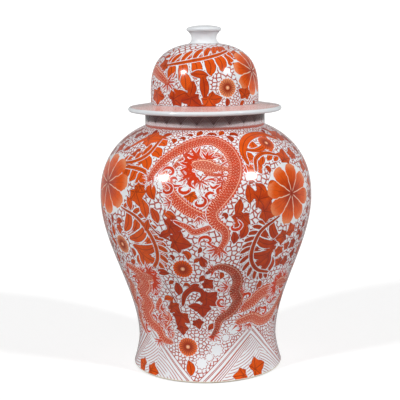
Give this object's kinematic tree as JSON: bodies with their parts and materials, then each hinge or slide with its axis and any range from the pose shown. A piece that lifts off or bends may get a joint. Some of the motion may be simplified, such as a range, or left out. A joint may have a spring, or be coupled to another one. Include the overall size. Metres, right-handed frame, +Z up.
{
  "type": "lidded ginger jar",
  "caption": "Baluster porcelain jar with a waisted foot and high shoulder, a straight neck, and a domed lid with a wide brim and a button knob that lifts off.",
  "frame": {"origin": "centre of the foot's flat underside, on the surface the jar stands on", "axes": "+Z up along the jar's axis of revolution and the way the lid lifts; +X to the viewer's right, -Y towards the viewer"},
  "size_m": [0.3472, 0.3472, 0.56],
  "materials": {
    "painted_glaze": "gloss",
    "white_glaze": "gloss",
    "bare_biscuit": "matte",
    "iron_red": "gloss"
  },
  "bodies": {
    "jar": {"foot_ring": "bare_biscuit", "lower_body": "painted_glaze", "upper_body": "painted_glaze", "neck_collar": "painted_glaze"},
    "lid": {"lid_brim": "painted_glaze", "locating_ring": "bare_biscuit", "lid_dome": "painted_glaze", "knob": "white_glaze"}
  },
  "joints": [
    {"name": "lid_lift", "type": "slide", "parent": "jar", "child": "lid", "axis": [0, 0, 1], "range_m": [0, 0.15]}
  ]
}
